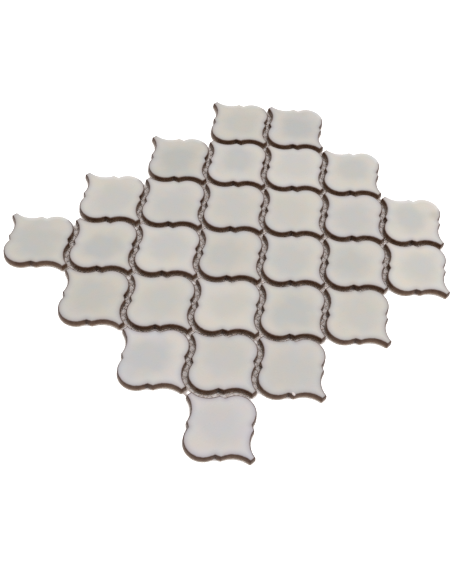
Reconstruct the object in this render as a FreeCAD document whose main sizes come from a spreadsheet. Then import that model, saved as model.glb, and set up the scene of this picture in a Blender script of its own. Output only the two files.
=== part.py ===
import FreeCAD, Part
import Sketcher
import math
import os

# Sheet of arabesque (lantern) wall tiles, laid tip to tip and ear to flank on a backing net.
# X runs along the tiles' ears, Y along their tips, Z up out of the glazed faces.
# The origin is under the middle of the sheet, on the plane that the net lies on.

SIZES = [
    ("tile_pitch_x", "65.0", "from one tile to the next beside it, along the ears"),
    ("tile_pitch_y", "63.4", "from one tile to the next in its column, along the tips"),
    ("joint", "2.9", "gap between the feet of neighbouring tiles"),
    ("tip_half_width", "3.8", "half the flat end of a tip, before the joint is taken off"),
    ("ear_radius", "14.2", "round of the ear, and of the flank that a neighbour's ear fits"),
    ("notch_angle", "80.0", "turn of the ear's round from its end to the notch, degrees"),
    ("tile_thickness", "5.0", "fired body and glaze"),
    ("net_pitch", "4.0", "from strand to strand, both ways"),
    ("strand_width", "0.8", "flat width of one strand"),
    ("strand_thickness", "0.25", "height of one layer of strands"),
    ("net_margin", "1.5", "how far the net stops inside the outer tiles' feet"),
    ("corner_slip", "1.2", "how far the first column's last tile was set off its place"),
    ("columns", "8", "columns of tiles, long and short ones in turn"),
    ("long_column", "4", "tiles in a long column, one more than in a short one"),
]

HALF_JOINT = "sizes.joint / 2"
EAR_REACH = "(sizes.tile_pitch_x / 2 - sizes.tip_half_width)"
NET_HEIGHT = "sizes.strand_thickness * 2"
SHEET_WIDTH = f"((sizes.columns - 1) * sizes.tile_pitch_x / 2 + {EAR_REACH} * 2 - sizes.joint)"
SHEET_LENGTH = "(sizes.long_column * sizes.tile_pitch_y - sizes.joint)"
MIDDLE_Y = "sizes.corner_slip / 2"

UP = FreeCAD.Vector(0, 0, 1)
TILE_CENTRE = FreeCAD.Vector(0, 0, 0)
ORIGIN_POINT = (-1, 1)
HORIZONTAL_AXIS = -1
START = 1
END = 2
CENTRE = 3


def driving_sizes(doc):
    """Keep the driving dimensions in a sheet of plain numbers with aliases."""
    sheet = doc.addObject("Spreadsheet::Sheet", "sizes")
    for row, (alias, value, meaning) in enumerate(SIZES, start=1):
        sheet.set(f"A{row}", meaning)
        sheet.set(f"B{row}", value)
        sheet.setAlias(f"B{row}", alias)
    doc.recompute()
    return sheet


def origin_feature(body, role):
    """Return one of a body's own origin planes or axes."""
    return next(item for item in body.Origin.OriginFeatures if item.Role == role)


def line_meets_circle(point, direction, centre, radius, near):
    """Return the crossing of a line and a circle that lies nearest to a given point."""
    offset = point - centre
    along = offset.dot(direction)
    reach = math.sqrt(along * along - offset.dot(offset) + radius * radius)
    crossings = [point + direction * (reach - along), point - direction * (reach + along)]
    return min(crossings, key=lambda crossing: (crossing - near).Length)


def polar_angle(point, centre):
    return math.atan2(point.y - centre.y, point.x - centre.x) % (2 * math.pi)


def quarter_sketch(body, sheet, inset):
    """Sketch a quarter of a tile, set in from the edge that it would share with no joint.

    The shared edge is an ear round, a short step and a flank round. Turned half round
    about its middle it is the same curve, so every ear fits a neighbour's flank.
    """
    set_in = sheet.evalExpression(inset)
    turn = math.radians(sheet.notch_angle)
    ear_centre = FreeCAD.Vector(sheet.evalExpression(EAR_REACH) - sheet.ear_radius, 0, 0)
    middle = FreeCAD.Vector(sheet.tile_pitch_x / 4, sheet.tile_pitch_y / 4, 0)
    flank_centre = middle * 2 - ear_centre
    notch = ear_centre + FreeCAD.Vector(math.cos(turn), math.sin(turn), 0) * sheet.ear_radius
    cusp = middle * 2 - notch

    along = (cusp - notch).normalize()
    step_point = middle + FreeCAD.Vector(-along.y, along.x, 0) * set_in
    ear_round = sheet.ear_radius - set_in
    flank_round = sheet.ear_radius + set_in
    step_low = line_meets_circle(step_point, along, ear_centre, ear_round, notch)
    step_high = line_meets_circle(step_point, along, flank_centre, flank_round, cusp)
    ear_end = ear_centre + FreeCAD.Vector(ear_round, 0, 0)
    tip_middle = FreeCAD.Vector(0, sheet.tile_pitch_y / 2 - set_in, 0)
    tip_corner = line_meets_circle(
        tip_middle, FreeCAD.Vector(1, 0, 0), flank_centre, flank_round, tip_middle
    )

    sketch = body.newObject("Sketcher::SketchObject", body.Name + "_quarter")
    sketch.AttachmentSupport = [(origin_feature(body, "XY_Plane"), "")]
    sketch.MapMode = "FlatFace"

    shared_round = sketch.addGeometry(Part.Circle(ear_centre, UP, sheet.ear_radius), True)
    shared_step = sketch.addGeometry(Part.LineSegment(notch, cusp), True)
    shared_middle = sketch.addGeometry(Part.Point(middle), True)
    ear_circle = Part.Circle(ear_centre, UP, ear_round)
    ear = sketch.addGeometry(Part.ArcOfCircle(ear_circle, 0, polar_angle(step_low, ear_centre)))
    step = sketch.addGeometry(Part.LineSegment(step_low, step_high))
    flank_circle = Part.Circle(flank_centre, UP, flank_round)
    flank_turn = (polar_angle(tip_corner, flank_centre), polar_angle(step_high, flank_centre))
    flank = sketch.addGeometry(Part.ArcOfCircle(flank_circle, *flank_turn))
    tip = sketch.addGeometry(Part.LineSegment(tip_corner, tip_middle))
    tip_axis = sketch.addGeometry(Part.LineSegment(tip_middle, TILE_CENTRE))
    ear_axis = sketch.addGeometry(Part.LineSegment(TILE_CENTRE, ear_end))

    def tie(*terms):
        return sketch.addConstraint(Sketcher.Constraint(*terms))

    def dimension(name, expression, *terms):
        sketch.renameConstraint(tie(*terms), name)
        sketch.setExpression("Constraints." + name, expression)

    tie("Coincident", tip_axis, END, *ORIGIN_POINT)
    tie("Coincident", ear_axis, START, *ORIGIN_POINT)
    tie("Vertical", tip_axis)
    tie("Horizontal", ear_axis)
    tie("Horizontal", tip)
    tie("Coincident", ear_axis, END, ear, START)
    tie("Coincident", ear, END, step, START)
    tie("Coincident", step, END, flank, END)
    tie("Coincident", flank, START, tip, START)
    tie("Coincident", tip, END, tip_axis, START)
    tie("PointOnObject", ear, CENTRE, HORIZONTAL_AXIS)
    tie("Coincident", shared_round, CENTRE, ear, CENTRE)
    tie("PointOnObject", shared_step, START, shared_round)
    tie("Symmetric", shared_step, START, shared_step, END, shared_middle, START)
    tie("Symmetric", ear, CENTRE, flank, CENTRE, shared_middle, START)
    tie("Parallel", step, shared_step)

    to_middle = (*ORIGIN_POINT, shared_middle, START)
    dimension("middle_x", "sizes.tile_pitch_x / 4", "DistanceX", *to_middle, middle.x)
    dimension("middle_y", "sizes.tile_pitch_y / 4", "DistanceY", *to_middle, middle.y)
    dimension("shared_radius", "sizes.ear_radius", "Radius", shared_round, sheet.ear_radius)
    notch_x = "sizes.ear_radius * cos(sizes.notch_angle * 1 deg)"
    dimension("notch_x", notch_x, "DistanceX", ear, CENTRE, shared_step, START, notch.x - ear_centre.x)
    dimension("step_in", f"abs({inset})", "Distance", shared_middle, START, step, abs(set_in))
    dimension("ear_round", f"sizes.ear_radius - ({inset})", "Radius", ear, ear_round)
    dimension("flank_round", f"sizes.ear_radius + ({inset})", "Radius", flank, flank_round)
    to_ear_end = (*ORIGIN_POINT, ear_axis, END)
    dimension("ear_end", f"{EAR_REACH} - ({inset})", "DistanceX", *to_ear_end, ear_end.x)
    to_tip = (*ORIGIN_POINT, tip, END)
    dimension("tip_end", f"sizes.tile_pitch_y / 2 - ({inset})", "DistanceY", *to_tip, tip_middle.y)
    return sketch


def outline_block(doc, sheet, name, inset, height):
    """Raise the quarter outline and mirror it both ways into one whole block."""
    body = doc.addObject("PartDesign::Body", name)
    pad = body.newObject("PartDesign::Pad", name + "_pad")
    pad.Profile = quarter_sketch(body, sheet, inset)
    pad.setExpression("Length", height)
    body.Tip = pad
    doc.recompute()
    for side in ("YZ_Plane", "XZ_Plane"):
        mirror = body.newObject("PartDesign::Mirrored", f"{name}_across_{side}")
        mirror.TransformMode = "Whole shape"
        mirror.MirrorPlane = (origin_feature(body, side), [""])
        body.Tip = mirror
        doc.recompute()
    return body


def laid_copy(doc, original, label, x, y, z):
    """Lay a copy of a body at a place given by expressions."""
    copy = doc.addObject("PartDesign::Body", label)
    copied = copy.newObject("PartDesign::FeatureBase", label + "_base")
    copied.BaseFeature = original
    copy.Tip = copied
    copy.setExpression(".Placement.Base.x", x)
    copy.setExpression(".Placement.Base.y", y)
    copy.setExpression(".Placement.Base.z", z)
    return copy


def column_x(column):
    return f"({column} - (sizes.columns + 1) / 2) * sizes.tile_pitch_x / 2"


def row_y(half_steps):
    return f"{half_steps} * sizes.tile_pitch_y / 2 + {MIDDLE_Y}"


def tile_places(sheet):
    """List each tile's column, row and height in half pitches above the sheet's middle."""
    longest = int(sheet.long_column)
    places = []
    for column in range(1, int(sheet.columns) + 1):
        short = (column + 1) % 2
        for row in range(1, longest - short + 1):
            places.append((column, row, longest + 1 - short - 2 * row))
    return places


def tiles(doc, sheet, places):
    """Lay the tiles on the net, column by column, with one corner tile slipped outwards."""
    form = outline_block(doc, sheet, "tile_form", HALF_JOINT, "sizes.tile_thickness")
    last_row = int(sheet.long_column)
    columns = {}
    for column, row, half_steps in places:
        slip = " - sizes.corner_slip" if (column, row) == (1, last_row) else ""
        place = (column_x(column), row_y(half_steps) + slip, NET_HEIGHT)
        columns.setdefault(column, []).append(laid_copy(doc, form, f"tile_c{column}_r{row}", *place))
    stacks = []
    for column, laid in columns.items():
        stack = doc.addObject("Part::Compound", f"tile_column_{column}")
        stack.Links = laid
        stacks.append(stack)
    return stacks


def next_tile_faces(doc, sheet, places):
    """Return the outlines of a next sheet's tiles, grown by what the net stays clear of them."""
    taken = {(column, half_steps) for column, row, half_steps in places}
    beside = {
        (column + across, half_steps + along)
        for column, half_steps in taken
        for across, along in ((0, 2), (0, -2), (1, 1), (1, -1), (-1, 1), (-1, -1))
    }
    grown = "-(sizes.joint / 2 + sizes.net_margin)"
    form = outline_block(doc, sheet, "next_tile_form", grown, NET_HEIGHT)
    foot = next(face for face in form.Shape.Faces if face.BoundBox.ZMax < sheet.strand_thickness)
    faces = []
    for column, half_steps in sorted(beside - taken):
        face = foot.copy()
        face.translate(FreeCAD.Vector(
            sheet.evalExpression(column_x(column)), sheet.evalExpression(row_y(half_steps)), 0
        ))
        faces.append(face)
    return faces


def strand_layer(doc, sheet, label, lengthwise, level, next_tiles):
    """Lay one layer of evenly spaced strands, cut square where a next sheet's tiles begin."""
    run = FreeCAD.Vector(0, 1, 0) if lengthwise else FreeCAD.Vector(1, 0, 0)
    step = FreeCAD.Vector(1, 0, 0) if lengthwise else FreeCAD.Vector(0, 1, 0)
    sheet_width = sheet.evalExpression(SHEET_WIDTH)
    sheet_length = sheet.evalExpression(SHEET_LENGTH)
    run_length, across = (sheet_length, sheet_width) if lengthwise else (sheet_width, sheet_length)
    half_run = run_length / 2 - sheet.net_margin
    gaps = math.floor((across - 2 * sheet.net_margin - sheet.strand_width) / sheet.net_pitch)
    middle = FreeCAD.Vector(0, sheet.evalExpression(MIDDLE_Y), 0)
    paths = []
    for number in range(gaps + 1):
        on_axis = middle + step * ((number - gaps / 2) * sheet.net_pitch)
        paths.append(Part.makeLine(on_axis - run * half_run, on_axis + run * half_run))
    left = Part.makeCompound(paths)
    for face in next_tiles:
        left = left.cut(face)
    half_width = step * (sheet.strand_width / 2)
    strands = []
    for edge in left.Edges:
        ends = sorted((vertex.Point for vertex in edge.Vertexes), key=lambda point: point.dot(run))
        low = ends[0] - half_width
        high = ends[1] + half_width
        size = high - low
        strands.append(Part.makeBox(size.x, size.y, sheet.strand_thickness, low))
    layer = doc.addObject("Part::Feature", label)
    layer.Shape = Part.makeCompound(strands)
    layer.setExpression(".Placement.Base.z", level)
    return layer


def net(doc, sheet, places):
    """Lay the net's lengthwise strands and, on them, its crosswise ones."""
    next_tiles = next_tile_faces(doc, sheet, places)
    return [
        strand_layer(doc, sheet, "net_warp", True, "0", next_tiles),
        strand_layer(doc, sheet, "net_weft", False, "sizes.strand_thickness", next_tiles),
    ]


def check_model(doc, pieces):
    """Stop before anything is written if a feature failed or a piece isn't sound."""
    for item in doc.Objects:
        if "Invalid" in item.State or "Error" in item.State:
            raise RuntimeError(f"{item.Name} failed: {item.State}")
    for piece in pieces:
        if piece.Shape.isNull() or not piece.Shape.isValid():
            raise RuntimeError(f"{piece.Label} has no sound shape")


def main():
    doc = FreeCAD.newDocument("arabesque_tile_sheet")
    sheet = driving_sizes(doc)
    places = tile_places(sheet)
    pieces = tiles(doc, sheet, places) + net(doc, sheet, places)
    doc.recompute()
    check_model(doc, pieces)
    os.makedirs("parts", exist_ok=True)
    for piece in pieces:
        piece.Shape.exportStep(f"parts/{piece.Label}.step")
        print(piece.Label, len(piece.Shape.Solids), round(piece.Shape.Volume, 3))


main()
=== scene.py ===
"""Looks of a mesh-mounted sheet of arabesque tiles: glazed tiles on a woven backing net."""
import logging
import math
import random
from collections.abc import Callable, Iterable
from dataclasses import dataclass, field
from enum import Enum

import bmesh
import bpy
import numpy as np
from mathutils import Matrix, Vector


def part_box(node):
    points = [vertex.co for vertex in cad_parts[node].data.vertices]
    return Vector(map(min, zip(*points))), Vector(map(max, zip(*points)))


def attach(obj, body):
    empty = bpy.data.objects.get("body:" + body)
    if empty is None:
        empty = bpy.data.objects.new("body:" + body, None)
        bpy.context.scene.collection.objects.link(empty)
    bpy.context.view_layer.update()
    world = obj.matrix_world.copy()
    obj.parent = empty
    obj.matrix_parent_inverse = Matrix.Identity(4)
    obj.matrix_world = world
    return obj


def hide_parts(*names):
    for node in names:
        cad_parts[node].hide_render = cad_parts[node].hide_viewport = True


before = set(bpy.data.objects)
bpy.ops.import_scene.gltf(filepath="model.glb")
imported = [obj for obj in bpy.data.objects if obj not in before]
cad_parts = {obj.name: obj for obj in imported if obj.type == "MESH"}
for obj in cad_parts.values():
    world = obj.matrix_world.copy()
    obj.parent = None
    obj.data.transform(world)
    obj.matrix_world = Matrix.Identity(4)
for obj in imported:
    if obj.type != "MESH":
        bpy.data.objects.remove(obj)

LOG = logging.getLogger("tile_sheet")
MM = 0.001


class Slot(Enum):
    """The record's material slots."""

    PORCELAIN = "glazed_porcelain"
    YARN = "net_yarn"


class Run(Enum):
    """Which way a net yarn runs."""

    LENGTHWISE = "net_warp"
    CROSSWISE = "net_weft"


class Part(Enum):
    """What an edit-mode selection is made of."""

    VERT = "verts"
    EDGE = "edges"
    FACE = "faces"


Element = bmesh.types.BMVert | bmesh.types.BMEdge | bmesh.types.BMFace


def linear(red: float, green: float, blue: float) -> tuple[float, float, float, float]:
    """Turn a colour as a screen shows it into the linear one that shaders take.

    Args:
        red: Red from 0 to 255.
        green: Green from 0 to 255.
        blue: Blue from 0 to 255.

    Returns:
        The linear colour with full alpha.
    """
    parts = [value / 255 for value in (red, green, blue)]
    return (*(p / 12.92 if p <= 0.04045 else ((p + 0.055) / 1.055) ** 2.4 for p in parts), 1.0)


def deselect_all() -> None:
    """Leave edit mode and clear the selection."""
    if bpy.context.object and bpy.context.object.mode != "OBJECT":
        bpy.ops.object.mode_set(mode="OBJECT")
    bpy.ops.object.select_all(action="DESELECT")


def take(*pieces: bpy.types.Object) -> None:
    """Select just these pieces and make the first one active.

    Args:
        pieces: The objects to select.
    """
    deselect_all()
    for piece in pieces:
        piece.select_set(True)
    bpy.context.view_layer.objects.active = pieces[0]


def pick(piece: bpy.types.Object, part: Part, test: Callable[[Element], bool]) -> int:
    """Select the vertices, edges or faces of the edited piece that pass a test.

    Args:
        piece: The object in edit mode.
        part: What to select.
        test: Takes one element and says whether it is wanted.

    Returns:
        How many elements were selected.
    """
    bpy.ops.mesh.select_mode(type=part.name)
    bpy.ops.mesh.select_all(action="DESELECT")
    mesh = bmesh.from_edit_mesh(piece.data)
    chosen = [element for element in getattr(mesh, part.value) if test(element)]
    for element in chosen:
        element.select_set(True)
    bmesh.update_edit_mesh(piece.data)
    return len(chosen)


def apply_modifier(piece: bpy.types.Object, kind: str, **settings: object) -> None:
    """Add a modifier to a piece and apply it.

    Args:
        piece: The object, in object mode.
        kind: The modifier's type.
        settings: Its properties by name.
    """
    take(piece)
    modifier = piece.modifiers.new(kind.title(), kind)
    for name, value in settings.items():
        setattr(modifier, name, value)
    bpy.ops.object.modifier_apply(modifier=modifier.name)


def store(mesh: bpy.types.Mesh, name: str, values: Iterable[float]) -> None:
    """Keep one number per vertex in a named attribute.

    Args:
        mesh: The mesh to write to.
        name: The attribute's name.
        values: A number for each vertex.
    """
    attribute = mesh.attributes.get(name) or mesh.attributes.new(name, "FLOAT", "POINT")
    attribute.data.foreach_set("value", np.fromiter(values, dtype=np.float32, count=len(mesh.vertices)))


def copy_of(master: bpy.types.Object, name: str, shift: Vector) -> bpy.types.Object:
    """Copy a finished piece, mesh and all, and lay the copy at its place.

    Args:
        master: The piece to copy.
        name: The copy's name.
        shift: How far the copy stands from the master.

    Returns:
        The copy, with its place in its mesh.
    """
    take(master)
    bpy.ops.object.duplicate(linked=False)
    piece = bpy.context.object
    piece.name = piece.data.name = name
    bpy.ops.transform.translate(value=shift)
    bpy.ops.object.transform_apply(location=True, rotation=True, scale=True)
    return piece


class Graph:
    """A material's shader, laid out node by node."""

    def __init__(self, name: str) -> None:
        """Start a material with just its surface shader.

        Args:
            name: The material's name.
        """
        self.material = bpy.data.materials.new(name)
        self.material.use_nodes = True
        self.tree = self.material.node_tree
        self.surface = self.tree.nodes["Principled BSDF"]

    def put(self, kind: str, inputs: dict[str | int, object] | None = None, **settings: object) -> bpy.types.Node:
        """Add a node.

        Args:
            kind: The node's type, less the word that all shader nodes start with.
            inputs: Values, or sockets to link, by the input's name or number.
            settings: The node's own properties.

        Returns:
            The new node.
        """
        node = self.tree.nodes.new("ShaderNode" + kind)
        for name, value in settings.items():
            setattr(node, name, value)
        for key, value in (inputs or {}).items():
            self.feed(node.inputs[key], value)
        return node

    def feed(self, socket: bpy.types.NodeSocket, value: object) -> None:
        """Set a socket, or link it where the value is another node's socket.

        Args:
            socket: The input.
            value: A plain value or an output socket.
        """
        if isinstance(value, bpy.types.NodeSocket):
            self.tree.links.new(value, socket)
        else:
            socket.default_value = value

    def value_of(self, attribute: str) -> bpy.types.NodeSocket:
        """Read one of the mesh's own attributes."""
        return self.put("Attribute", attribute_name=attribute).outputs["Fac"]

    def place(self) -> bpy.types.NodeSocket:
        """Read the place on the piece, in metres."""
        return self.put("TexCoord").outputs["Object"]

    def sums(self, operation: str, first: object, second: object = 0.0, third: object = 0.0,
             clamp: bool = False) -> bpy.types.NodeSocket:
        """Work on one, two or three numbers.

        Args:
            operation: The name of the operation.
            first: The first number or socket.
            second: The second number or socket.
            third: The third number or socket.
            clamp: Whether to keep the result between 0 and 1.

        Returns:
            The result.
        """
        inputs = {0: first, 1: second, 2: third}
        return self.put("Math", inputs, operation=operation, use_clamp=clamp).outputs[0]

    def stretch(self, value: object, low: float, high: float, to_low: float = 0.0, to_high: float = 1.0,
                smooth: bool = False) -> bpy.types.NodeSocket:
        """Map one range of numbers onto another, and stop at its ends.

        Args:
            value: The number or socket to map.
            low: Where the range starts.
            high: Where it ends.
            to_low: What the start becomes.
            to_high: What the end becomes.
            smooth: Whether to ease in and out.

        Returns:
            The mapped number.
        """
        node = self.put("MapRange", {0: value, 1: low, 2: high, 3: to_low, 4: to_high},
                        interpolation_type="SMOOTHSTEP" if smooth else "LINEAR")
        return node.outputs["Result"]

    def noise(self, place: bpy.types.NodeSocket, size: float, detail: float = 2.0,
              roughness: float = 0.5) -> bpy.types.NodeSocket:
        """Lay an even noise over the piece.

        Args:
            place: The coordinates to read it at.
            size: The width of one blotch in metres.
            detail: How many finer layers it has.
            roughness: How strong the finer layers are.

        Returns:
            The noise, from 0 to 1.
        """
        node = self.put("TexNoise", {"Vector": place, "Scale": 1 / size, "Detail": detail, "Roughness": roughness})
        return node.outputs["Fac"]

    def blend(self, share: object, under: object, over: object, kind: str = "MIX") -> bpy.types.NodeSocket:
        """Lay one colour over another.

        Args:
            share: How much of the upper colour shows.
            under: The lower colour or socket.
            over: The upper colour or socket.
            kind: How the two are blended.

        Returns:
            The blended colour.
        """
        node = self.put("Mix", data_type="RGBA", blend_type=kind)
        self.feed(node.inputs["Factor"], share)
        self.feed(node.inputs["A"], under)
        self.feed(node.inputs["B"], over)
        return node.outputs["Result"]

    def ellipsoid(self, place: bpy.types.NodeSocket, middle: tuple[float, float, float],
                  halves: tuple[float, float, float], turn: float) -> bpy.types.NodeSocket:
        """Measure how far out of a small ellipsoid a spot lies.

        Args:
            place: The spot.
            middle: The ellipsoid's middle, in millimetres.
            halves: Half its length, width and height.
            turn: How far it is turned about the upright axis, in degrees.

        Returns:
            0 at its middle and 1 on its surface.
        """
        inputs = {"Vector": place, "Location": Vector(middle) * MM, "Rotation": (0, 0, math.radians(turn)),
                  "Scale": Vector(halves) * MM}
        local = self.put("Mapping", inputs, vector_type="TEXTURE").outputs["Vector"]
        return self.put("VectorMath", {0: local}, operation="LENGTH").outputs["Value"]

    def ramp(self, value: object, stops: Iterable[tuple[float, tuple[float, float, float, float]]],
             easing: str = "LINEAR") -> bpy.types.NodeSocket:
        """Turn a number into a colour by stops.

        Args:
            value: The number, from 0 to 1.
            stops: Places from 0 to 1 and their colours.
            easing: How the ramp runs between stops.

        Returns:
            The colour.
        """
        node = self.put("ValToRGB", {0: value})
        node.color_ramp.interpolation = easing
        stops = list(stops)
        elements = node.color_ramp.elements
        while len(elements) < len(stops):
            elements.new(0.5)
        for element, (where, colour) in zip(elements, stops):
            element.position = where
            element.color = colour
        return node.outputs["Color"]

    def relief(self, height: object, depth: float, strength: float = 1.0,
               under: bpy.types.NodeSocket | None = None) -> bpy.types.NodeSocket:
        """Turn a height into a bumped normal.

        Args:
            height: The height, from 0 to 1.
            depth: How tall a height of 1 is, in metres.
            strength: How much of it shows.
            under: A normal that this one is laid over.

        Returns:
            The normal.
        """
        inputs = {"Height": height, "Distance": depth, "Strength": strength}
        if under is not None:
            inputs["Normal"] = under
        return self.put("Bump", inputs).outputs["Normal"]


@dataclass(frozen=True)
class AntiqueGlaze:
    """Off-white glaze that pools grey in the middle, runs cream outwards and breaks to brown at the arris.

    The stops are millimetres in from the foot's edge with the colour that the glaze has there.
    """

    chip: tuple[float, float, float] = (-62.49, -109.68, 5.2)
    chip_turn: float = -99.6
    stain: tuple[float, float, float] = (131.0, -70.0, 5.5)
    stops: tuple[tuple[float, tuple[float, float, float]], ...] = (
        (0.62, (66, 48, 39)),
        (0.84, (84, 66, 58)),
        (1.02, (139, 127, 124)),
        (1.35, (174, 167, 166)),
        (1.9, (185, 180, 179)),
        (2.6, (193, 189, 187)),
        (3.4, (199, 195, 191)),
        (4.4, (204, 200, 195)),
        (5.6, (206, 201, 194)),
        (7.2, (207, 201, 193)),
    )
    pool: tuple[float, float, float] = (186, 186, 184)
    reach: float = 16.0
    thin: tuple[float, float, float] = (150, 124, 104)
    thick: tuple[float, float, float] = (70, 45, 31)
    # Painted shade: the wall's colour in the notch.
    notch_shade: tuple[float, float, float] = (52, 33, 24)
    clay: tuple[float, float, float] = (226, 216, 202)
    glue: tuple[float, float, float] = (200, 190, 174)
    bare_height: float = 0.6
    net_pitch: float = 4.0

    def dress(self, yarn_lines: tuple[float, float]) -> bpy.types.Material:
        """Make the material.

        Args:
            yarn_lines: Where one lengthwise yarn lies across and one crosswise yarn lies along the sheet, in metres.

        Returns:
            The glazed and, below its line and on the back, bare porcelain.
        """
        graph = Graph("antique_glaze_on_porcelain")
        place = graph.place()
        axes = graph.put("SeparateXYZ", {0: place}).outputs
        from_edge = graph.value_of("from_edge")
        glaze = self._glaze_colour(graph, place, from_edge)
        bare = self._bare_share(graph, place, axes["Z"])
        clay = self._clay_colour(graph, place, axes, yarn_lines)
        chipped = graph.ellipsoid(place, self.chip, (1.7, 0.8, 0.7), self.chip_turn)
        chipped = graph.stretch(graph.sums("ADD", chipped, graph.noise(place, 0.0006)), 1.6, 1.4)
        colour = graph.blend(chipped, graph.blend(bare, glaze, clay), linear(222, 211, 208))
        bare = graph.sums("MAXIMUM", bare, chipped)
        graph.feed(graph.surface.inputs["Base Color"], colour)
        graph.feed(graph.surface.inputs["Roughness"], self._roughness(graph, place, from_edge, bare))
        graph.feed(graph.surface.inputs["Specular IOR Level"], graph.stretch(from_edge, 0.7, 1.3, 0.22, 0.5))
        graph.feed(graph.surface.inputs["Normal"], self._relief(graph, place, bare))
        graph.surface.inputs["IOR"].default_value = 1.5
        return graph.material

    def _glaze_colour(self, graph: Graph, place: bpy.types.NodeSocket,
                      from_edge: bpy.types.NodeSocket) -> bpy.types.NodeSocket:
        """Colour the glaze by how far in from the edge it lies.

        Args:
            graph: The material's nodes.
            place: The place on the tile.
            from_edge: The distance in from the foot's edge, in millimetres.

        Returns:
            The glaze's colour.
        """
        worn = graph.value_of("worn")
        waver = graph.sums("MULTIPLY_ADD", graph.noise(place, 0.0016, 2.0), 0.5, -0.25)
        moved = graph.sums("MULTIPLY_ADD", waver, graph.stretch(from_edge, 2.5, 1.2), from_edge)
        recess = graph.value_of("recess")
        # On the last tiles the far-rim term moves the stops outwards, part of the painted reflection along the rim.
        for name, inward in (("worn", 0.9), ("recess", 0.4), ("cusp", -0.4)):
            moved = graph.sums("MULTIPLY_ADD", graph.value_of(name), inward, moved)
        share = graph.sums("DIVIDE", moved, self.reach, clamp=True)
        ground = graph.ramp(share, [(where / self.reach, linear(*colour)) for where, colour in self.stops])
        drift = graph.sums("MULTIPLY_ADD", graph.noise(place, 0.014, 1.5), 1.0, -0.5)
        depth = graph.stretch(graph.sums("ADD", graph.value_of("inward"), drift), 0.0, 1.0, smooth=True)
        top = graph.blend(graph.sums("MULTIPLY", depth, graph.value_of("pool")), ground, linear(*self.pool))
        # Painted reflection: on the last tiles the glaze is whitened along the far rim.
        lit = graph.sums("MULTIPLY", worn, graph.stretch(from_edge, 4.2, 0.8, 0.0, 0.6))
        top = graph.blend(lit, top, linear(240, 237, 235))
        smudge = graph.stretch(graph.ellipsoid(place, self.stain, (8.0, 6.0, 3.0), 0.0), 1.0, 0.0, 0.0, 0.28, smooth=True)
        top = graph.blend(smudge, top, linear(146, 134, 118))
        tint = graph.blend(graph.value_of("warmth"), linear(252.7, 251.8, 258), linear(256, 255, 248))
        toned = graph.blend(1.0, top, tint, "MULTIPLY")
        for size, under, over in ((0.0075, (257, 254, 253), (252, 255.5, 255)), (0.0105, (256.5, 255, 251), (253, 254, 258))):
            mottle = graph.blend(graph.stretch(graph.noise(place, size, 3.0, 0.6), 0.36, 0.64), linear(*under), linear(*over))
            toned = graph.blend(1.0, toned, mottle, "MULTIPLY")
        # Brightness per tile: its own tone, with a painted light falloff across the sheet, brighter towards +X and -Y.
        shade = graph.value_of("shade")
        grey = graph.put("CombineColor", {0: shade, 1: shade, 2: shade}).outputs["Color"]
        toned = graph.blend(1.0, toned, grey, "MULTIPLY")
        runs = graph.put("Mapping", {"Vector": place, "Scale": (1.0, 1.0, 0.45)}).outputs["Vector"]
        streak = graph.stretch(graph.noise(runs, 0.0035, 2.0, 0.5), 0.3, 0.72)
        height = graph.put("SeparateXYZ", {0: place}).outputs["Z"]
        low = graph.sums("POWER", graph.stretch(height, 4.9 * MM, 0.8 * MM), 2.6)
        share = graph.sums("MULTIPLY_ADD", streak, 0.18, low)
        wall = graph.blend(share, linear(*self.thick), linear(*self.thin))
        # Painted shade: the wall is darkened in the notch.
        wall = graph.blend(graph.sums("MULTIPLY", recess, 0.9), wall, linear(*self.notch_shade))
        # There the far-rim term also pushes the wall's dark edge outwards, part of the same painted reflection.
        on_wall = graph.stretch(graph.sums("MULTIPLY_ADD", worn, 0.3, from_edge), 0.78, 0.60, smooth=True)
        return graph.blend(on_wall, toned, wall)

    def _bare_share(self, graph: Graph, place: bpy.types.NodeSocket,
                    height: bpy.types.NodeSocket) -> bpy.types.NodeSocket:
        """Say where the glaze has stopped and the clay is bare.

        Args:
            graph: The material's nodes.
            place: The place on the tile.
            height: The height above the wall that the sheet goes on.

        Returns:
            1 on bare clay and 0 on glaze.
        """
        middle = (self.bare_height + 0.5 + 0.35) * MM
        line = graph.sums("MULTIPLY_ADD", graph.noise(place, 0.005, 3.0, 0.6), -0.7 * MM, middle)
        line = graph.sums("MULTIPLY_ADD", graph.value_of("recess"), -0.7 * MM, line)
        above = graph.sums("SUBTRACT", height, line)
        return graph.stretch(above, 0.10 * MM, -0.10 * MM, smooth=True)

    def _clay_colour(self, graph: Graph, place: bpy.types.NodeSocket, axes: bpy.types.bpy_prop_collection,
                     yarn_lines: tuple[float, float]) -> bpy.types.NodeSocket:
        """Colour the bare clay, darker where the net's glue has wetted the back.

        Args:
            graph: The material's nodes.
            place: The place on the tile.
            axes: The place's separate coordinates.
            yarn_lines: Where one yarn of each layer lies, in metres.

        Returns:
            The clay's colour.
        """
        grain = graph.stretch(graph.noise(place, 0.0007, 3.0, 0.7), 0.35, 0.7)
        cloud = graph.stretch(graph.noise(place, 0.009, 2.0), 0.3, 0.7)
        body = graph.blend(grain, linear(*self.clay), linear(*(value * 0.9 for value in self.clay)))
        body = graph.blend(cloud, body, linear(*(value * 0.95 for value in self.clay)))
        near = None
        for axis, line in zip(("X", "Y"), yarn_lines):
            steps = graph.sums("DIVIDE", graph.sums("SUBTRACT", axes[axis], line), self.net_pitch * MM)
            off = graph.sums("ABSOLUTE", graph.sums("SUBTRACT", steps, graph.sums("ROUND", steps)))
            near = off if near is None else graph.sums("MINIMUM", near, off)
        edge = graph.sums("ADD", near, graph.stretch(graph.noise(place, 0.003, 2.0), 0.2, 0.8, -0.07, 0.10))
        wet = graph.stretch(edge, 0.22, 0.12, smooth=True)
        flat = graph.stretch(axes["Z"], 0.75 * MM, 0.6 * MM)
        return graph.blend(graph.sums("MULTIPLY", wet, flat), body, linear(*self.glue))

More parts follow.
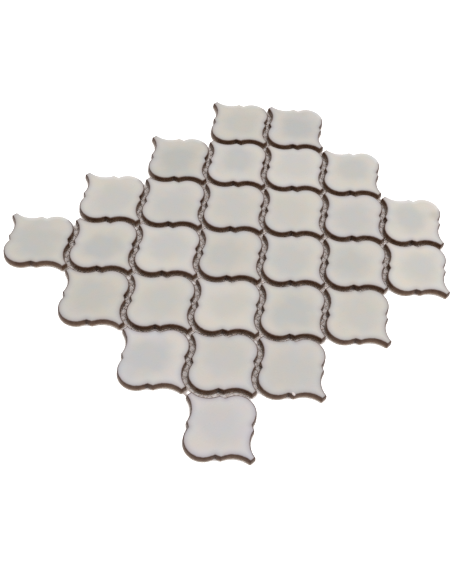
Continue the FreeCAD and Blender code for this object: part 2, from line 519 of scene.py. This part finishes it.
    def _roughness(self, graph: Graph, place: bpy.types.NodeSocket, from_edge: bpy.types.NodeSocket,
                   bare: bpy.types.NodeSocket) -> bpy.types.NodeSocket:
        """Give the glaze a soft gloss that varies, clearer where it is thin, and leave the clay dull.

        Args:
            graph: The material's nodes.
            place: The place on the tile.
            from_edge: The distance in from the foot's edge, in millimetres.
            bare: 1 on bare clay.

        Returns:
            The roughness.
        """
        gloss = graph.stretch(graph.noise(place, 0.006, 3.0), 0.3, 0.7, 0.22, 0.34)
        gloss = graph.sums("SUBTRACT", gloss, graph.stretch(from_edge, 1.4, 0.6, 0.0, 0.1))
        clay = graph.stretch(bare, 0.0, 1.0, 0.0, 0.55)
        return graph.sums("ADD", gloss, clay)

    def _relief(self, graph: Graph, place: bpy.types.NodeSocket, bare: bpy.types.NodeSocket) -> bpy.types.NodeSocket:
        """Ripple the glaze faintly, prick it, and grain the clay.

        Args:
            graph: The material's nodes.
            place: The place on the tile.
            bare: 1 on bare clay.

        Returns:
            The bumped normal.
        """
        ripple = graph.relief(graph.noise(place, 0.007, 1.0), 0.00022, 0.5)
        pores = graph.put("TexVoronoi", {"Vector": place, "Scale": 1 / 0.0024}, feature="F1").outputs["Distance"]
        pricked = graph.relief(graph.stretch(pores, 0.02, 0.09), 0.00003, 0.35, ripple)
        grain = graph.sums("MULTIPLY", graph.noise(place, 0.0006, 3.0, 0.7), bare)
        return graph.relief(grain, 0.00012, 0.8, pricked)


@dataclass(frozen=True)
class CoatedYarn:
    """Off-white net yarn, its filaments drawn together by a dull coating."""

    colour: tuple[float, float, float] = (247, 233, 226)
    shaded: tuple[float, float, float] = (214, 197, 189)
    filament: float = 0.11

    def dress(self) -> bpy.types.Material:
        """Make the material.

        Returns:
            The yarn, its filaments running along each strand by the strand's own coordinates.
        """
        graph = Graph("coated_net_yarn")
        strand = graph.put("UVMap", uv_map="strand").outputs["UV"]
        axes = graph.put("SeparateXYZ", {0: strand}).outputs
        twist = graph.sums("ADD", axes["Y"], graph.sums("MULTIPLY", axes["X"], 0.09))
        fold = graph.sums("SINE", graph.sums("MULTIPLY", twist, 2 * math.pi / self.filament))
        blotch = graph.stretch(graph.noise(graph.place(), 0.006, 3.0), 0.3, 0.7)
        tone = graph.stretch(fold, -1.0, 1.0)
        # Painted shade: the yarn turns to its shaded colour in the grooves between filaments; the blotches darken it
        # towards the same colour at random.
        colour = graph.blend(graph.sums("MULTIPLY", tone, 0.6), linear(*self.colour), linear(*self.shaded))
        colour = graph.blend(graph.sums("MULTIPLY", blotch, 0.45), colour, linear(*self.shaded))
        graph.feed(graph.surface.inputs["Base Color"], colour)
        graph.feed(graph.surface.inputs["Roughness"], graph.stretch(blotch, 0.0, 1.0, 0.48, 0.7))
        graph.feed(graph.surface.inputs["Normal"], graph.relief(fold, 0.00003, 0.7))
        return graph.material


@dataclass
class TileForm:
    """One arabesque tile, drawn from its edge that it would share with its neighbours if there were no joint."""

    pitch_x: float = 65.0
    pitch_y: float = 63.4
    joint: float = 2.9
    tip_half_width: float = 3.8
    ear_radius: float = 14.2
    notch_angle: float = 80.0
    thickness: float = 5.0
    foot_level: float = 0.5
    foot_chamfer: float = 0.3
    corner_round: float = 0.22
    ear_steps: int = 22
    flank_steps: int = 18
    wall_lean: float = 0.34
    arris: tuple[tuple[float, float], ...] = (
        (0.05, 0.22), (0.09, 0.20), (0.13, 0.16), (0.17, 0.12), (0.21, 0.09), (0.27, 0.07), (0.36, 0.05),
    )
    mesh_step: float = 1.9
    key_pitch: float = 4.8
    key_width: float = 1.9
    key_depth: float = 0.35
    rim: float = 3.4
    outline: list[Vector] = field(default_factory=list, init=False)

    def _crossing(self, point: Vector, along: Vector, centre: Vector, radius: float, near: Vector) -> Vector:
        """Find where a line meets a circle.

        Args:
            point: A point on the line.
            along: The line's direction, of length 1.
            centre: The circle's centre.
            radius: Its radius.
            near: The crossing nearest to this point is taken.

        Returns:
            The crossing.
        """
        offset = point - centre
        middle = offset.dot(along)
        reach = math.sqrt(middle * middle - offset.dot(offset) + radius * radius)
        return min((point + along * (reach - middle), point - along * (reach + middle)),
                   key=lambda place: (place - near).length)

    def _draw_quarter(self) -> bpy.types.Object:
        """Draw a quarter of the foot's outline by spinning and extruding one vertex.

        Returns:
            The quarter, as edges, in metres.
        """
        inset = self.joint / 2
        ear_centre = Vector((self.pitch_x / 2 - self.tip_half_width - self.ear_radius, 0, 0))
        middle = Vector((self.pitch_x / 4, self.pitch_y / 4, 0))
        flank_centre = middle * 2 - ear_centre
        turn = math.radians(self.notch_angle)
        notch = ear_centre + Vector((math.cos(turn), math.sin(turn), 0)) * self.ear_radius
        cusp = middle * 2 - notch
        along = (cusp - notch).normalized()
        step_point = middle + Vector((-along.y, along.x, 0)) * inset
        low = self._crossing(step_point, along, ear_centre, self.ear_radius - inset, notch)
        high = self._crossing(step_point, along, flank_centre, self.ear_radius + inset, cusp)
        tip_middle = Vector((0, self.pitch_y / 2 - inset, 0))
        tip = self._crossing(tip_middle, Vector((1, 0, 0)), flank_centre, self.ear_radius + inset, tip_middle)
        ear_turn = math.atan2(low.y, low.x - ear_centre.x)
        to_high, to_tip = high - flank_centre, tip - flank_centre
        flank_turn = to_high.angle(to_tip)
        self.outline = [low, high, tip]

        deselect_all()
        bpy.ops.mesh.primitive_plane_add(size=MM)
        quarter = bpy.context.object
        bpy.ops.object.mode_set(mode="EDIT")
        bpy.ops.mesh.select_mode(type="VERT")
        bpy.ops.mesh.select_all(action="SELECT")
        bpy.ops.mesh.merge(type="CENTER")
        ear_end = ear_centre.x + self.ear_radius - inset
        bpy.ops.transform.translate(value=(ear_end * MM, 0, 0))
        bpy.ops.mesh.spin(steps=self.ear_steps, angle=-ear_turn, center=ear_centre * MM, axis=(0, 0, 1))
        bpy.ops.mesh.extrude_region_move(TRANSFORM_OT_translate={"value": (high - low) * MM})
        bpy.ops.mesh.spin(steps=self.flank_steps, angle=flank_turn, center=flank_centre * MM, axis=(0, 0, 1))
        bpy.ops.mesh.extrude_region_move(TRANSFORM_OT_translate={"value": (tip_middle - tip) * MM})
        bpy.ops.object.mode_set(mode="OBJECT")
        return quarter

    def _ring(self, inward: float, rise: float) -> None:
        """Inset the selected face and lift it.

        Args:
            inward: How far the new edge lies inside the old one.
            rise: How far the face moves along its normal.
        """
        bpy.ops.mesh.inset(thickness=inward * MM, depth=rise * MM, use_even_offset=True, use_boundary=True)

    def _grid(self, piece: bpy.types.Object, level: float, step: float, across: tuple[int, ...]) -> None:
        """Divide the flat face at a level by evenly spaced planes.

        Args:
            piece: The tile, in edit mode.
            level: The face's height in millimetres.
            step: The distance between planes.
            across: The axes that the planes stand across.
        """
        reach = {0: self.pitch_x / 2, 1: self.pitch_y / 2}
        for axis in across:
            count = int(reach[axis] / step)
            for number in range(-count, count + 1):
                pick(piece, Part.FACE, lambda face: all(abs(v.co.z / MM - level) < 0.002 for v in face.verts))
                place, normal = Vector((0, 0, 0)), Vector((0, 0, 0))
                place[axis] = number * step * MM
                normal[axis] = 1
                bpy.ops.mesh.bisect(plane_co=place, plane_no=normal)

    def build(self) -> bpy.types.Object:
        """Shape the whole tile about its own middle.

        Returns:
            The master tile, closed, smooth and with its distances from the edge stored.
        """
        piece = self._draw_quarter()
        piece.name = piece.data.name = "tile_master"
        apply_modifier(piece, "MIRROR", use_axis=(True, True, False), use_mirror_merge=True, merge_threshold=0.00001)
        take(piece)
        bpy.ops.object.mode_set(mode="EDIT")
        bpy.ops.mesh.select_all(action="SELECT")
        bpy.ops.transform.translate(value=(0, 0, (self.foot_level + self.foot_chamfer) * MM))
        bpy.ops.mesh.edge_face_add()
        self._raise_top(piece)
        self._close_foot(piece)
        self._soften_corners(piece)
        bpy.ops.mesh.select_all(action="SELECT")
        bpy.ops.mesh.remove_doubles(threshold=0.000002)
        bpy.ops.mesh.normals_make_consistent(inside=False)
        bpy.ops.object.mode_set(mode="OBJECT")
        self._measure_edge(piece)
        bpy.ops.object.shade_smooth_by_angle(angle=math.radians(42))
        return piece

    def _raise_top(self, piece: bpy.types.Object) -> None:
        """Raise the leaning wall, roll the arris over and divide the glazed face.

        Args:
            piece: The tile's flat outline, in edit mode.
        """
        pick(piece, Part.FACE, lambda face: True)
        if bmesh.from_edit_mesh(piece.data).faces[:][0].normal.z < 0:
            bpy.ops.mesh.flip_normals()
        rolled = sum(rise for _, rise in self.arris)
        wall = self.thickness - self.foot_chamfer - rolled - 0.06
        lower = 1.6
        self._ring(self.wall_lean * lower / wall, lower)
        self._ring(self.wall_lean * (wall - lower) / wall, wall - lower)
        for inward, rise in self.arris:
            self._ring(inward, rise)
        level = self.foot_level + self.thickness - 0.06
        self._grid(piece, level, self.mesh_step, (0, 1))

    def _close_foot(self, piece: bpy.types.Object) -> None:
        """Close the tile below with a small chamfer and shallow keys.

        Args:
            piece: The tile, in edit mode.
        """
        base = self.foot_level + self.foot_chamfer
        pick(piece, Part.EDGE, lambda edge: all(abs(v.co.z / MM - base) < 0.002 for v in edge.verts))
        bpy.ops.mesh.edge_face_add()
        pick(piece, Part.FACE, lambda face: all(abs(v.co.z / MM - base) < 0.002 for v in face.verts))
        if next(face for face in bmesh.from_edit_mesh(piece.data).faces if face.select).normal.z > 0:
            bpy.ops.mesh.flip_normals()
        self._ring(0.22, self.foot_chamfer)
        count = int((self.pitch_y / 2 - 10) / self.key_pitch)
        for number in range(-count, count + 1):
            self._cut_key(piece, number * self.key_pitch)

    def _half_width(self, y: float) -> float:
        """Measure half the foot's width at a distance from the middle.

        Args:
            y: The distance from the tile's ear line.

        Returns:
            Half the width there.
        """
        low, high, _ = self.outline
        ear_centre = self.pitch_x / 2 - self.tip_half_width - self.ear_radius
        if abs(y) < low.y:
            return ear_centre + math.sqrt((self.ear_radius - self.joint / 2) ** 2 - y * y)
        if abs(y) < high.y:
            return high.x
        reach = (self.ear_radius + self.joint / 2) ** 2 - (self.pitch_y / 2 - abs(y)) ** 2
        return self.pitch_x / 2 - ear_centre - math.sqrt(reach)

    def _cut_key(self, piece: bpy.types.Object, middle: float) -> None:
        """Sink one straight key into the back, for the adhesive to hold in.

        Args:
            piece: The tile, in edit mode.
            middle: How far the key lies from the tile's ear line.
        """
        half = self.key_width / 2
        reach = self._half_width(abs(middle) + half) - self.rim
        low, high = middle - half, middle + half
        for y in (low, high):
            self._pick_back(piece, -99.0, 99.0, 99.0)
            bpy.ops.mesh.bisect(plane_co=(0, y * MM, 0), plane_no=(0, 1, 0))
        for x in (-reach, reach):
            self._pick_back(piece, low, high, 99.0)
            bpy.ops.mesh.bisect(plane_co=(x * MM, 0, 0), plane_no=(1, 0, 0))
        self._pick_back(piece, low, high, reach)
        self._ring(0.3, -self.key_depth)

    def _pick_back(self, piece: bpy.types.Object, low: float, high: float, reach: float) -> None:
        """Select the back's flat faces that lie within a strip.

        Args:
            piece: The tile, in edit mode.
            low: Where the strip starts along the tile.
            high: Where it ends.
            reach: How far it runs to each side of the middle.
        """
        pick(piece, Part.FACE, lambda face: face.normal.z < -0.9 and all(
            abs(spot.z - self.foot_level) < 0.002 and low - 0.01 < spot.y < high + 0.01 and abs(spot.x) < reach + 0.01
            for spot in (vertex.co / MM for vertex in face.verts)))

    def _soften_corners(self, piece: bpy.types.Object) -> None:
        """Round the upright edges at the notches, the cusps and the tips.

        Args:
            piece: The tile, in edit mode.
        """
        base = self.foot_level + self.foot_chamfer
        corners = [Vector((abs(place.x), abs(place.y))) for place in self.outline]
        pick(piece, Part.VERT, lambda vertex: False)
        mesh = bmesh.from_edit_mesh(piece.data)
        bpy.ops.mesh.select_mode(type="EDGE")
        starts = [v for v in mesh.verts if abs(v.co.z / MM - base) < 0.002 and any(
            (Vector((abs(v.co.x), abs(v.co.y))) / MM - corner).length < 0.02 for corner in corners)]
        for start in starts:
            for direction in (1, -1):
                spot = start
                while spot is not None:
                    onward = [edge for edge in spot.link_edges
                              if (edge.other_vert(spot).co.z - spot.co.z) * direction > 0.018 * MM]
                    near = [edge for edge in onward if (edge.other_vert(spot).co - start.co).xy.length < 1.5 * MM]
                    if len(near) != 1:
                        break
                    near[0].select_set(True)
                    spot = near[0].other_vert(spot)
        bmesh.update_edit_mesh(piece.data)
        bpy.ops.mesh.bevel(offset=self.corner_round * MM, offset_type="OFFSET", segments=2, affect="EDGES")

    def _measure_edge(self, piece: bpy.types.Object) -> None:
        """Store how far each vertex lies in from the foot's edge, and bow the face down to the arris.

        Args:
            piece: The tile, in object mode.
        """
        count = len(piece.data.vertices)
        places = np.empty(count * 3)
        piece.data.vertices.foreach_get("co", places)
        places = places.reshape(-1, 3) / MM
        base = self.foot_level + self.foot_chamfer
        rim = places[np.abs(places[:, 2] - base) < 0.002][:, :2]
        rim = rim[np.argsort(np.arctan2(rim[:, 1], rim[:, 0]))]
        ends = np.roll(rim, -1, axis=0)
        near = np.full(count, 1e9)
        for start, end in zip(rim, ends):
            run = end - start
            share = np.clip(((places[:, :2] - start) @ run) / max(run @ run, 1e-12), 0, 1)
            off = places[:, :2] - (start + share[:, None] * run)
            near = np.minimum(near, np.hypot(off[:, 0], off[:, 1]))
        store(piece.data, "from_edge", near)
        low, high, _ = self.outline
        for name, corner, reach in (("recess", low, 2.4), ("cusp", high, 1.6)):
            off = np.hypot(*(np.abs(places[:, :2]) - np.array(corner.xy)).T)
            store(piece.data, name, np.clip(1 - off / reach, 0, 1))
        top = self.foot_level + self.thickness
        group = piece.vertex_groups.new(name="crown")
        for index in np.flatnonzero(places[:, 2] > top - 0.061):
            group.add([int(index)], float(1 - math.exp(-max(near[index] - 2.2, 0) / 2.6)), "REPLACE")
        apply_modifier(piece, "DISPLACE", direction="Z", strength=0.06 * MM, mid_level=0.0, vertex_group="crown")
        piece.vertex_groups.clear()


@dataclass
class TileField:
    """The 28 tiles, column by column, each where its CAD solid stands."""

    form: TileForm = field(default_factory=TileForm)
    glaze: AntiqueGlaze = field(default_factory=AntiqueGlaze)
    columns: int = 8
    seed: int = 11

    def places(self) -> list[tuple[str, str, Vector]]:
        """Read the tiles' places off the CAD columns.

        Returns:
            Each tile's name, its column's node and its middle, in metres.
        """
        half = (self.form.pitch_y - self.form.joint) / 2 * MM
        laid = []
        for column in range(1, self.columns + 1):
            node = f"tile_column_{column}"
            low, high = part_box(node)
            rows = round((high.y - low.y) / (self.form.pitch_y * MM))
            for row in range(1, rows + 1):
                y = high.y - half - (row - 1) * self.form.pitch_y * MM
                if row == rows:
                    y = low.y + half
                laid.append((f"tile_c{column}_r{row}", node, Vector(((low.x + high.x) / 2, y, 0))))
        return laid

    def build(self) -> list[bpy.types.Object]:
        """Make one tile and lay a copy at each place.

        Returns:
            The tiles.
        """
        master = self.form.build()
        master.data.materials.clear()
        half_strand = 0.4 * MM
        lines = (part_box(Run.LENGTHWISE.value)[0].x + half_strand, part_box(Run.CROSSWISE.value)[0].y + half_strand)
        master.data.materials.append(self.glaze.dress(lines))
        kiln = random.Random(self.seed)
        tiles = []
        places = self.places()
        for name, node, place in places:
            tile = copy_of(master, name, place)
            last = [all((place + Vector((self.form.pitch_x, self.form.pitch_y * way, 0)) / 2 * MM - other).length > 5 * MM
                        for _, _, other in places) for way in (1, -1)]
            self._tone(tile, place, kiln, *last)
            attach(tile, "root")
            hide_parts(node)
            tiles.append(tile)
        bpy.data.objects.remove(master)
        return tiles

    def _tone(self, tile: bpy.types.Object, place: Vector, kiln: random.Random, last: bool, ends: bool) -> None:
        """Give a tile its own tone and pool, cooler towards the corner with the slipped tile, brighter towards +X and
        -Y as painted light falloff, and on the last tiles with a painted reflection along the far rim.

        Args:
            tile: The tile.
            place: Its middle.
            kiln: The source of the differences from one tile to the next.
            last: Whether no tile follows it towards +X and +Y, where a pale painted reflection is laid over the arris.
            ends: Whether none follows it towards +X and -Y either.
        """
        count = len(tile.data.vertices)
        spots = np.empty(count * 3)
        tile.data.vertices.foreach_get("co", spots)
        local = (spots.reshape(-1, 3)[:, :2] - np.array(place.xy)) / MM
        near = np.minimum(local[:, 0], local[:, 1] + 7 * (last and ends))
        # Painted reflection along the far rim of the last tiles, rising over the first 3 mm out from the middle
        # towards +X and +Y.
        store(tile.data, "worn", np.clip(near / 3, 0, 1) * last)
        centre = [kiln.uniform(-3, 3), kiln.uniform(-2.5, 2.5)]
        reach = np.array([24.0, 21.0]) * kiln.uniform(0.9, 1.1)
        store(tile.data, "inward", (1 - np.hypot(*((local - centre) / reach).T)) / 0.7)
        corner = max(-(place.x + place.y) / 0.24 - 0.45, 0)
        tones = {
            "warmth": min(max(0.58 + 0.6 * place.y - 1.2 * corner + kiln.uniform(-0.16, 0.16), 0.0), 1.0),
            # The place terms are a painted light falloff across the sheet; the random term is the tile's own tone.
            "shade": 1.0 + 0.14 * place.x - 0.18 * place.y + kiln.uniform(-0.045, 0.045),
            "pool": 0.68 + kiln.uniform(-0.25, 0.25),
        }
        for name, value in tones.items():
            store(tile.data, name, [value] * count)


@dataclass
class BackingNet:
    """The woven net under the tiles: flat coated yarns, over and under one another in turn."""

    yarn: CoatedYarn = field(default_factory=CoatedYarn)
    pitch: float = 4.0
    width: float = 0.8
    thickness: float = 0.24
    height: float = 0.5
    sides: int = 8

    def _strand_boxes(self, node: str) -> list[tuple[Vector, Vector]]:
        """Read where each strand of a CAD layer starts and ends.

        Args:
            node: The layer's node.

        Returns:
            Each strand's lowest and highest corner.
        """
        mesh = bmesh.new()
        mesh.from_mesh(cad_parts[node].data)
        bmesh.ops.remove_doubles(mesh, verts=mesh.verts, dist=0.000001)
        boxes, seen = [], set()
        for start in mesh.verts:
            if start.index in seen:
                continue
            seen.add(start.index)
            group, queue = [start], [start]
            while queue:
                for edge in queue.pop().link_edges:
                    for vertex in edge.verts:
                        if vertex.index not in seen:
                            seen.add(vertex.index)
                            group.append(vertex)
                            queue.append(vertex)
            corners = [[f(v.co[axis] for v in group) for axis in range(3)] for f in (min, max)]
            boxes.append((Vector(corners[0]), Vector(corners[1])))
        mesh.free()
        return boxes

    def _long_yarn(self, run: Run, length: float, lifted: bool) -> bpy.types.Object:
        """Make one yarn as long as the sheet, waving from crossing to crossing.

        Args:
            run: Which way it runs.
            length: The length that it has to cover.
            lifted: Whether it passes over the crossing in the middle.

        Returns:
            The yarn, with coordinates along and round it.
        """
        half_waves = 2 * math.ceil(length / MM / self.pitch / 2) + 2
        deselect_all()
        bpy.ops.mesh.primitive_cylinder_add(vertices=self.sides, radius=self.thickness / 2 * MM, depth=self.pitch * MM,
                                            end_fill_type="NOTHING")
        yarn = bpy.context.object
        bpy.ops.object.mode_set(mode="EDIT")
        bpy.ops.mesh.select_all(action="SELECT")
        bpy.ops.transform.rotate(value=math.pi / 2, orient_axis="X", center_override=(0, 0, 0))
        bpy.ops.transform.resize(value=(self.width / self.thickness, 1, 1), center_override=(0, 0, 0))
        for cut in (-0.25, 0.0, 0.25):
            bpy.ops.mesh.select_all(action="SELECT")
            bpy.ops.mesh.bisect(plane_co=(0, cut * self.pitch * MM, 0), plane_no=(0, 1, 0))
        bpy.ops.object.mode_set(mode="OBJECT")
        apply_modifier(yarn, "ARRAY", count=half_waves, use_relative_offset=False, use_constant_offset=True,
                       constant_offset_displace=(0, self.pitch * MM, 0), use_merge_vertices=True,
                       merge_threshold=0.00001)
        take(yarn)
        bpy.ops.transform.translate(value=(0, -(half_waves - 1) / 2 * self.pitch * MM, 0))
        bpy.ops.object.transform_apply(location=True, rotation=False, scale=False)
        self._wave(yarn, 1 if lifted else -1)
        self._chart(yarn)
        if run is Run.CROSSWISE:
            take(yarn)
            bpy.ops.transform.rotate(value=math.pi / 2, orient_axis="Z", center_override=(0, 0, 0))
            bpy.ops.object.transform_apply(location=False, rotation=True, scale=False)
        return yarn

    def _wave(self, yarn: bpy.types.Object, sign: int) -> None:
        """Lift and lower the yarn's rings at the crossings in turn.

        Args:
            yarn: The straight yarn along Y.
            sign: 1 where the crossing at the middle is passed over, else -1.
        """
        swing = (self.height - self.thickness) / 2
        bpy.ops.object.mode_set(mode="EDIT")
        for level, share in ((0.0, 1.0), (0.25, math.cos(math.pi / 4))):
            for side in (1, -1):
                pick(yarn, Part.VERT, lambda v: self._phase(v.co.y, level, side))
                bpy.ops.transform.translate(value=(0, 0, side * sign * swing * share * MM))
        bpy.ops.mesh.select_all(action="SELECT")
        bpy.ops.transform.translate(value=(0, 0, self.height / 2 * MM))
        bpy.ops.object.mode_set(mode="OBJECT")

    def _phase(self, y: float, level: float, side: int) -> bool:
        """Tell whether a ring lies at a phase of the wave.

        Args:
            y: The ring's place along the yarn.
            level: 0 at a crossing, 0.25 a quarter of the way to the next.
            side: 1 for crossings passed over, -1 for those passed under.

        Returns:
            Whether it does.
        """
        steps = y / MM / self.pitch
        crossing = round(steps)
        off = abs(steps - crossing)
        return abs(off - level) < 0.01 and (crossing % 2 == 0) == (side == 1)

    def _chart(self, yarn: bpy.types.Object) -> None:
        """Lay coordinates on the yarn: millimetres along it and round it.

        Args:
            yarn: The yarn, along Y.
        """
        layer = yarn.data.uv_layers.get("strand") or yarn.data.uv_layers.new(name="strand")
        around = 2 * (self.width + self.thickness) / self.sides
        for face in yarn.data.polygons:
            middle = face.center
            for loop in face.loop_indices:
                place = yarn.data.vertices[yarn.data.loops[loop].vertex_index].co
                lean = place.x / MM + (around if middle.z > self.height / 2 * MM else 0)
                layer.data[loop].uv = (place.y / MM, lean)

    def build(self) -> list[bpy.types.Object]:
        """Weave both layers.

        Returns:
            The lengthwise and the crosswise yarns, each layer one piece.
        """
        cloth = self.yarn.dress()
        layers = []
        for run in Run:
            boxes = self._strand_boxes(run.value)
            axis = 0 if run is Run.LENGTHWISE else 1
            length = max(high[1 - axis] - low[1 - axis] for low, high in boxes) * 1.1
            masters = [self._long_yarn(run, length, lifted) for lifted in (True, False)]
            lines = sorted({round((low[axis] + high[axis]) / 2, 6) for low, high in boxes})
            strands = [
                self._cut_to(masters[(lines.index(round((low[axis] + high[axis]) / 2, 6)) + axis) % 2], run, low, high)
                for low, high in boxes
            ]
            for master in masters:
                bpy.data.objects.remove(master)
            layer = self._join(strands, f"{run.value}_yarns")
            layer.data.materials.clear()
            layer.data.materials.append(cloth)
            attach(layer, "root")
            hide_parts(run.value)
            layers.append(layer)
        return layers

    def _cut_to(self, master: bpy.types.Object, run: Run, low: Vector, high: Vector) -> bpy.types.Object:
        """Cut a copy of the long yarn to one strand's place and length.

        Args:
            master: The long yarn.
            run: Which way it runs.
            low: The strand's lowest corner.
            high: The strand's highest corner.

        Returns:
            The strand.
        """
        axis = 0 if run is Run.LENGTHWISE else 1
        along = 1 - axis
        strand = master.copy()
        strand.data = master.data.copy()
        bpy.context.scene.collection.objects.link(strand)
        shift = Vector((0, 0, 0))
        shift[axis] = (low[axis] + high[axis]) / 2
        strand.data.transform(Matrix.Translation(shift))
        take(strand)
        bpy.ops.object.mode_set(mode="EDIT")
        for end, sign in ((low, -1), (high, 1)):
            place, normal = Vector((0, 0, 0)), Vector((0, 0, 0))
            place[along] = end[along]
            normal[along] = sign
            bpy.ops.mesh.select_all(action="SELECT")
            bpy.ops.mesh.bisect(plane_co=place, plane_no=normal, use_fill=True, clear_outer=True)
        bpy.ops.object.mode_set(mode="OBJECT")
        return strand

    def _join(self, strands: list[bpy.types.Object], name: str) -> bpy.types.Object:
        """Join strands into one piece.

        Args:
            strands: The strands.
            name: The piece's name.

        Returns:
            The piece, faces outwards and smooth along the yarns.
        """
        take(*strands)
        bpy.ops.object.join()
        layer = bpy.context.object
        layer.name = layer.data.name = name
        bpy.ops.object.mode_set(mode="EDIT")
        bpy.ops.mesh.select_all(action="SELECT")
        bpy.ops.mesh.normals_make_consistent(inside=False)
        bpy.ops.object.mode_set(mode="OBJECT")
        bpy.ops.object.shade_smooth_by_angle(angle=math.radians(60))
        return layer


@dataclass
class Studio:
    """A pale floor, a soft even light and the photograph's view."""

    floor_width: float = 6.0
    azimuth: float = -50.7461
    elevation: float = 53.9083
    roll: float = 9.3926
    distance: float = 584.799
    target: tuple[float, float, float] = (-32.3332, -30.3207, 5.5)
    focus: float = 841.564
    centre: tuple[float, float] = (244.0, 292.0)
    frame_size: tuple[int, int] = (452, 584)
    sky: float = 0.903
    floor_glow: float = 0.8
    key_power: float = 4.5

    def build(self) -> None:
        """Set up the floor, the lights and the camera."""
        self._floor()
        self._sky()
        self._lamp("key_light", (0.3, -0.7, 1.35), 1.1, self.key_power)
        self._camera()

    def _floor(self) -> None:
        """Lay the floor, white to the camera and in reflections, with its shadow kept close to the sheet and painted
        shade in the joints.
        """
        deselect_all()
        bpy.ops.mesh.primitive_plane_add(size=self.floor_width, location=(0, 0, -0.0001))
        floor = bpy.context.object
        floor.name = "floor"
        graph = Graph("pale_floor")
        path = graph.put("LightPath").outputs
        seen = graph.sums("MAXIMUM", path["Is Camera Ray"], path["Is Glossy Ray"])
        seen = graph.sums("MAXIMUM", seen, path["Is Transmission Ray"])
        fibre = graph.stretch(graph.noise(graph.place(), 0.02, 3.0), 0.2, 0.8, 0.0, 0.02)
        pale = graph.blend(fibre, (0.86, 0.86, 0.86, 1.0), (0.8, 0.8, 0.8, 1.0))
        open_share = graph.put("AmbientOcclusion", {"Distance": 0.03}, samples=32).outputs["AO"]
        # Painted shade: seen in the joints, the floor is coloured darker the more enclosed it lies, darkest against
        # the walls.
        near_wall = graph.stretch(open_share, 0.14, 0.27)
        joint_floor_shaded = graph.blend(near_wall, (0.30, 0.25, 0.24, 1.0), (0.96, 0.89, 0.87, 1.0))
        clear = graph.blend(graph.stretch(open_share, 0.45, 0.52), joint_floor_shaded, (0.97, 0.93, 0.92, 1.0))
        graph.feed(graph.surface.inputs["Base Color"], graph.blend(seen, pale, clear))
        graph.surface.inputs["Roughness"].default_value = 0.9
        graph.surface.inputs["Specular IOR Level"].default_value = 0.1
        graph.surface.inputs["Emission Color"].default_value = (1.0, 1.0, 1.0, 1.0)
        glow = graph.stretch(open_share, 0.49, 0.56, 0.0, self.floor_glow, smooth=True)
        glow = graph.sums("MULTIPLY", path["Is Camera Ray"], glow)
        graph.feed(graph.surface.inputs["Emission Strength"], glow)
        floor.data.materials.append(graph.material)

    def _sky(self) -> None:
        """Light the scene evenly from all round, white where the camera sees it or looks through glass."""
        world = bpy.data.worlds.new("studio_light")
        world.use_nodes = True
        bpy.context.scene.world = world
        tree = world.node_tree
        background = tree.nodes["Background"]
        path = tree.nodes.new("ShaderNodeLightPath")
        seen = tree.nodes.new("ShaderNodeMath")
        seen.operation = "MAXIMUM"
        tree.links.new(path.outputs["Is Camera Ray"], seen.inputs[0])
        tree.links.new(path.outputs["Is Transmission Ray"], seen.inputs[1])
        level = tree.nodes.new("ShaderNodeMapRange")
        tree.links.new(seen.outputs[0], level.inputs[0])
        level.inputs["To Min"].default_value = self.sky
        level.inputs["To Max"].default_value = 1.0
        background.inputs["Color"].default_value = (1.0, 1.0, 1.0, 1.0)
        tree.links.new(level.outputs["Result"], background.inputs["Strength"])

    def _lamp(self, name: str, place: tuple[float, float, float], size: float, power: float) -> None:
        """Hang a soft lamp that points at the sheet.

        Args:
            name: The lamp's name.
            place: Where it hangs.
            size: The side of its square face.
            power: Its power in watts.
        """
        light = bpy.data.lights.new(name, "AREA")
        light.shape = "SQUARE"
        light.size = size
        light.energy = power
        lamp = bpy.data.objects.new(name, light)
        bpy.context.scene.collection.objects.link(lamp)
        lamp.location = place
        lamp.rotation_euler = (-Vector(place)).to_track_quat("-Z", "Y").to_euler()

    def _camera(self) -> None:
        """Stand the camera where the photograph was taken from."""
        turn, lift, roll = (math.radians(value) for value in (self.azimuth, self.elevation, self.roll))
        back = Vector((math.sin(turn) * math.cos(lift), -math.cos(turn) * math.cos(lift), math.sin(lift)))
        level = (-back).cross(Vector((0, 0, 1))).normalized()
        up = level.cross(-back)
        across = level * math.cos(roll) + up * math.sin(roll)
        above = up * math.cos(roll) - level * math.sin(roll)
        data = bpy.data.cameras.new("photo_view")
        width, height = self.frame_size
        data.sensor_fit = "VERTICAL"
        data.sensor_height = 36
        data.lens = 36 * self.focus / height
        data.shift_x = (width / 2 - self.centre[0]) / height
        data.shift_y = (self.centre[1] - height / 2) / height
        camera = bpy.data.objects.new("photo_view", data)
        bpy.context.scene.collection.objects.link(camera)
        stand = (Vector(self.target) + back * self.distance) * MM
        camera.matrix_world = Matrix.Translation(stand) @ Matrix((across, above, back)).transposed().to_4x4()
        bpy.context.scene.camera = camera


def main() -> None:
    """Build the net, the tiles and the studio in order, and log each built piece's face count."""
    logging.basicConfig(level=logging.INFO, format="%(message)s")
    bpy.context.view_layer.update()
    for assembly in (BackingNet(), TileField()):
        for piece in assembly.build():
            LOG.info("%s: %d faces", piece.name, len(piece.data.polygons))
    Studio().build()
    bpy.context.scene.view_settings.view_transform = "Standard"


if __name__ == "__main__":
    main()
